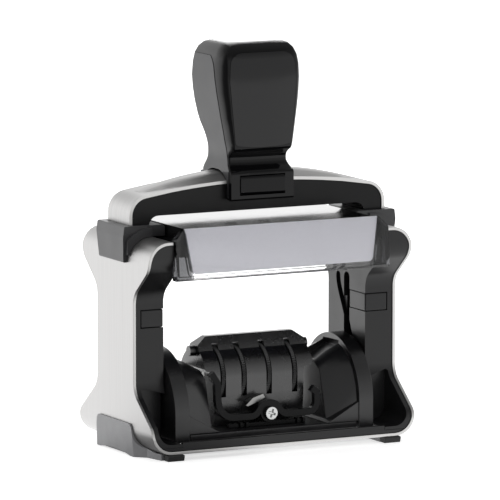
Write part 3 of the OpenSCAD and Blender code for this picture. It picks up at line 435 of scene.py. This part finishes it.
def glaze(name, card):
    """A clear cover whose rims, and whose ends beside the tapered card, take a dark clear plastic
    as painted shade.
    """
    cover = softened(name, 0.0004, 3)
    finish_with(cover, window_clear)
    cover.data.materials.append(window_painted_shade)
    low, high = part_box(card)
    card_taper = 0.0027
    edge_on = 0.6
    corner = Vector((high.x, 0, high.z))
    lean = Vector((high.z - low.z, 0, -card_taper)).normalized()
    bpy.ops.object.mode_set(mode="EDIT")
    for side in (-1, 1):
        cut = (side * lean.x, 0, lean.z)
        bpy.ops.mesh.select_all(action="SELECT")
        bpy.ops.mesh.bisect(plane_co=(side * corner.x, 0, corner.z), plane_no=cut)
    bpy.ops.object.mode_set(mode="OBJECT")
    # Painted shade: rims and ends past the card take the second, dark clear material.
    for face in cover.data.polygons:
        past_corner = Vector((abs(face.center.x), 0, face.center.z)) - corner
        if abs(face.normal.y) < edge_on or past_corner.dot(lean) > 0:
            face.material_index = 1


glaze("front_window", "front_card")
finish_with(softened("front_card", 0), pale_card)

# Rear window
# The back of the base has the same clear cover over a white card.
# It is fixed to the base and stays there when the cartridge is pulled out.
glaze("rear_window", "rear_card")
finish_with(softened("rear_card", 0), white_card)

# Die
# The plate that carries the rubber turns over between two moulded cheeks.
# Steel pins run out of the cheeks: one on the turning axis, one in the curved track.
# Plain raised lines run round the printing face and round its opening for the date.
die_black = moulded_black("die_black", (0.010, 0.010, 0.0108), 0.28, 0.36, 0.5)
for name in ("die_plate", "left_cheek", "right_cheek"):
    finish_with(softened(name, 0.0005, 3), die_black)


def raised_line(plate, half_x, half_y):
    """A plain line round a rectangle of the printing face, moulded in one with the rubber."""
    width = 0.0008
    sunk = 0.0001
    thickness = 0.0004
    bpy.ops.object.select_all(action="DESELECT")
    bpy.ops.mesh.primitive_plane_add(size=2, location=(0, 0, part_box("text_plate")[0].z + sunk))
    line = bpy.context.object
    line.scale = (half_x, half_y, 1)
    bpy.ops.object.transform_apply(location=True, scale=True)
    bpy.ops.object.mode_set(mode="EDIT")
    bpy.ops.mesh.select_all(action="SELECT")
    bpy.ops.mesh.inset(thickness=width)
    bpy.ops.mesh.delete(type="FACE")
    bpy.ops.object.mode_set(mode="OBJECT")
    height = line.modifiers.new("height", "SOLIDIFY")
    height.thickness = thickness
    height.offset = -1
    bpy.ops.object.modifier_apply(modifier="height")
    line.select_set(False)
    plate.select_set(True)
    bpy.context.view_layer.objects.active = plate
    moulding = plate.modifiers.new("moulding", "BOOLEAN")
    moulding.operation = "UNION"
    moulding.object = line
    bpy.ops.object.modifier_apply(modifier="moulding")
    bpy.ops.object.shade_smooth_by_angle(angle=math.radians(30))
    bpy.data.objects.remove(line)


text_rubber = moulded_black("text_rubber", (0.075, 0.070, 0.070), 0.6, 0.7)
text_plate = softened("text_plate", 0.0002)
finish_with(text_plate, text_rubber)
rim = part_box("text_plate")[1]
for inset in (0.0015, 0.0036):
    raised_line(text_plate, rim.x - inset, rim.y - inset)
date_line_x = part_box("band_anvil")[1].x + 0.0030
date_line_y = 0.0072
raised_line(text_plate, date_line_x, date_line_y)

pin_steel = bright_wire("pin_steel", (0.62, 0.62, 0.61), 0.2, 0.3)
for name in ("axle_pins", "cam_pins"):
    finish_with(softened(name, 0.0002), pin_steel)

# Dater
# Four date bands run round a nose at the print face and a toothed wheel on one shaft.
# A black housing covers the wheels and leaves a slot over each toothed rim.
band_rubber = moulded_black("band_rubber", (0.05, 0.047, 0.047), 0.6, 0.7)
wheel_black = moulded_black("wheel_black", (0.012, 0.012, 0.0125), 0.28, 0.36, 0.5)
for number in ("1", "2", "3", "4"):
    finish_with(softened("date_band_" + number, 0), band_rubber)
    finish_with(softened("date_wheel_" + number, 0.0001, 1), wheel_black)
finish_with(softened("wheel_axle", 0.0002), pin_steel)
finish_with(softened("band_anvil", 0.0002), die_black)

dater_black = moulded_black("dater_black", (0.010, 0.010, 0.0105), 0.24, 0.32, 0.8)
finish_with(softened("dater_housing", 0.0004, 3), dater_black)

# Strap, screw and leaf of the dater
# A rounded strap bows over one cross-head screw and holds the dater to the plate.
# A small plated leaf beside the screw keeps it under tension.
strap_black = moulded_black("strap_black", (0.004, 0.004, 0.0044), 0.20, 0.28, 0.12)
finish_with(softened("clamp_frame", 0.0008, 4), strap_black)
zinc = bright_wire("zinc", (0.58, 0.585, 0.58), 0.2, 0.3)
finish_with(softened("clamp_screw", 0.00015), zinc)
leaf_steel = bright_wire("leaf_steel", (0.30, 0.30, 0.295), 0.3, 0.4)
finish_with(softened("tension_clip", 0.00015), leaf_steel)

# Bow
# The bow that is pressed by hand is a black arch under a bent strip of stainless.
# Its legs run down into the columns, where the springs push it up.
arch_black = moulded_black("arch_black", (0.004, 0.004, 0.0045), 0.28, 0.36, 0.18)
finish_with(softened("bow_frame", 0.0003), arch_black)
# The bow's strip is the same stainless as the base band; its shades are set darker as painted
# shade.
bow_dark = (0.36, 0.357, 0.354)
bow_light = (0.47, 0.466, 0.463)
bow_steel = brushed_steel("bow_steel", bow_dark, bow_light, 0.34, 0.46, painted_edge_highlight)
finish_with(softened("bow_band", 0.0002), bow_steel)

# Handle
# The handle is a polished black body that sits astride the bow, with a soft dark grip
# on each flank, a polished front panel and a clear cover over a card on top.
handle_gloss = polished_black("handle_gloss", (0.003, 0.003, 0.0035), 0.08, 0.12, 0.24)
finish_with(softened("handle_body", 0.0003), handle_gloss)
panel_gloss = polished_black("panel_gloss", (0.004, 0.004, 0.0048), 0.08, 0.12, 0.38)
finish_with(softened("front_panel", 0.0004, 3), panel_gloss)
grip_soft = moulded_black("grip_soft", (0.020, 0.020, 0.022), 0.34, 0.40, 0.33)
for side in ("left", "right"):
    finish_with(softened(side + "_grip", 0.0002), grip_soft)
finish_with(softened("top_card", 0), white_card)
finish_with(softened("top_window", 0.0003), window_clear)
finish_with(softened("handle_screws", 0.0002), zinc)

# Lock button
# A button in the front of the saddle is pressed to hold the stamp down for storage.
# It is polished black like the handle and goes straight in.
button_black = polished_black("button_black", (0.003, 0.003, 0.0036), 0.10, 0.14, 0.2)
finish_with(softened("lock_button", 0.0005, 3), button_black)


# Floor and light
# The stamp stands on a white sweep under soft lights, strongest at the left and above.
# Its polished faces mirror a room that is bright behind it and dark at the front left,
# while the camera and the clear plastic see plain white.
def by_direction(tree, vector, towards, start, end, low, high):
    """A number that goes from low to high as a vector turns towards a direction."""
    likeness = tree.nodes.new("ShaderNodeVectorMath")
    likeness.operation = "DOT_PRODUCT"
    likeness.inputs[1].default_value = towards
    fit = tree.nodes.new("ShaderNodeMapRange")
    fit.inputs["From Min"].default_value = start
    fit.inputs["From Max"].default_value = end
    fit.inputs["To Min"].default_value = low
    fit.inputs["To Max"].default_value = high
    tree.links.new(vector, likeness.inputs[0])
    tree.links.new(likeness.outputs["Value"], fit.inputs["Value"])
    return fit.outputs["Result"]


def product(tree, one, other):
    """Two numbers of a node tree multiplied."""
    times = tree.nodes.new("ShaderNodeMath")
    times.operation = "MULTIPLY"
    tree.links.new(one, times.inputs[0])
    tree.links.new(other, times.inputs[1])
    return times.outputs["Value"]


def only_mirrored(tree, rays):
    """One for a ray that left a polished face, and none for one that went through clear plastic."""
    rest = tree.nodes.new("ShaderNodeMath")
    rest.operation = "SUBTRACT"
    rest.use_clamp = True
    tree.links.new(rays.outputs["Is Glossy Ray"], rest.inputs[0])
    tree.links.new(rays.outputs["Is Transmission Ray"], rest.inputs[1])
    return rest.outputs["Value"]


def seen_plainly(tree, rays):
    """One for a ray from the camera or one that went through clear plastic."""
    either = tree.nodes.new("ShaderNodeMath")
    either.operation = "MAXIMUM"
    tree.links.new(rays.outputs["Is Camera Ray"], either.inputs[0])
    tree.links.new(rays.outputs["Is Transmission Ray"], either.inputs[1])
    return either.outputs["Value"]


dark_side = (-0.87, -0.49, 0)
bpy.ops.object.select_all(action="DESELECT")
bpy.ops.mesh.primitive_plane_add(size=8, location=(0, 0, cad_low.z))
bpy.ops.object.transform_apply(location=True)
floor = bpy.context.object
floor.name = "floor"
floor_white = bpy.data.materials.new("floor_white")
floor_white.use_nodes = True
tree = floor_white.node_tree
paint = tree.nodes["Principled BSDF"]
paint.inputs["Base Color"].default_value = (0.86, 0.86, 0.86, 1)
paint.inputs["Roughness"].default_value = 0.6
paint.inputs["Specular IOR Level"].default_value = 0.1
paint.inputs["Emission Color"].default_value = (1, 1, 1, 1)
place = tree.nodes.new("ShaderNodeTexCoord")
distance = tree.nodes.new("ShaderNodeVectorMath")
distance.operation = "LENGTH"
fade = tree.nodes.new("ShaderNodeMapRange")
fade.inputs["From Min"].default_value = 0.12
fade.inputs["From Max"].default_value = 0.5
fade.inputs["To Min"].default_value = 0.6
fade.inputs["To Max"].default_value = 1.0
rays = tree.nodes.new("ShaderNodeLightPath")
tree.links.new(place.outputs["Object"], distance.inputs[0])
tree.links.new(distance.outputs["Value"], fade.inputs["Value"])
glow = product(tree, fade.outputs["Result"], seen_plainly(tree, rays))
tree.links.new(glow, paint.inputs["Emission Strength"])
compass = tree.nodes.new("ShaderNodeVectorMath")
compass.operation = "NORMALIZE"
tree.links.new(place.outputs["Object"], compass.inputs[0])
behind = by_direction(tree, compass.outputs["Vector"], (-0.3, 0.95, 0), -0.3, 0.3, 1.3, 1.85)
gap = by_direction(tree, compass.outputs["Vector"], dark_side, 0.55, 0.9, 1.0, 0.18)
mirrored_floor = tree.nodes.new("ShaderNodeEmission")
tree.links.new(product(tree, behind, gap), mirrored_floor.inputs["Strength"])
choice = tree.nodes.new("ShaderNodeMixShader")
tree.links.new(only_mirrored(tree, rays), choice.inputs["Fac"])
tree.links.new(paint.outputs["BSDF"], choice.inputs[1])
tree.links.new(mirrored_floor.outputs["Emission"], choice.inputs[2])
tree.links.new(choice.outputs["Shader"], tree.nodes["Material Output"].inputs["Surface"])
floor.data.materials.append(floor_white)
floor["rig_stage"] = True


def soft_light(name, place, size, power):
    """A square soft light aimed at the middle of the stamp."""
    stamp_middle = Vector((0, 0, 0.07))
    aim = (stamp_middle - Vector(place)).to_track_quat("-Z", "Y").to_euler()
    bpy.ops.object.light_add(type="AREA", location=place, rotation=aim)
    light = bpy.context.object
    light.name = name
    light.data.size = size
    light.data.energy = power
    light.visible_glossy = False


soft_light("back_light", (1.0, 1.94, 0.37), 0.8, 2.5)
soft_light("left_light", (-1.2, 0.3, 0.6), 1.2, 6.0)
soft_light("top_light", (0.1, 0.1, 1.4), 1.2, 4.5)
soft_light("front_light", (0.2, -1.5, 0.7), 1.0, 2.7)

world = bpy.data.worlds.new("white_room")
world.use_nodes = True
bpy.context.scene.world = world
tree = world.node_tree
room = tree.nodes["Background"]
room.inputs["Strength"].default_value = 0.38
room.inputs["Color"].default_value = (1, 1, 1, 1)
backdrop = tree.nodes.new("ShaderNodeBackground")
backdrop.inputs["Color"].default_value = (1, 1, 1, 1)
mirrored_room = tree.nodes.new("ShaderNodeBackground")
mirrored_room.inputs["Color"].default_value = (1, 1, 1, 1)
place = tree.nodes.new("ShaderNodeTexCoord")
ahead = by_direction(tree, place.outputs["Generated"], (0.45, -0.88, -0.14), -0.6, 0.7, 1.9, 0.9)
gap = by_direction(tree, place.outputs["Generated"], dark_side, 0.55, 0.9, 1.0, 0.18)
ceiling = by_direction(tree, place.outputs["Generated"], (0, 0, 1), 0.25, 0.7, 1.0, 0.35)
level = product(tree, product(tree, ahead, gap), ceiling)
rays = tree.nodes.new("ShaderNodeLightPath")
direct = tree.nodes.new("ShaderNodeMixShader")
reflected = tree.nodes.new("ShaderNodeMixShader")
tree.links.new(level, mirrored_room.inputs["Strength"])
tree.links.new(seen_plainly(tree, rays), direct.inputs["Fac"])
tree.links.new(room.outputs["Background"], direct.inputs[1])
tree.links.new(backdrop.outputs["Background"], direct.inputs[2])
tree.links.new(only_mirrored(tree, rays), reflected.inputs["Fac"])
tree.links.new(direct.outputs["Shader"], reflected.inputs[1])
tree.links.new(mirrored_room.outputs["Background"], reflected.inputs[2])
tree.links.new(reflected.outputs["Shader"], tree.nodes["World Output"].inputs["Surface"])
bpy.context.scene.view_settings.view_transform = "Standard"

# Size
# The box round the dressed stamp is taken in metres.
low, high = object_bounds()
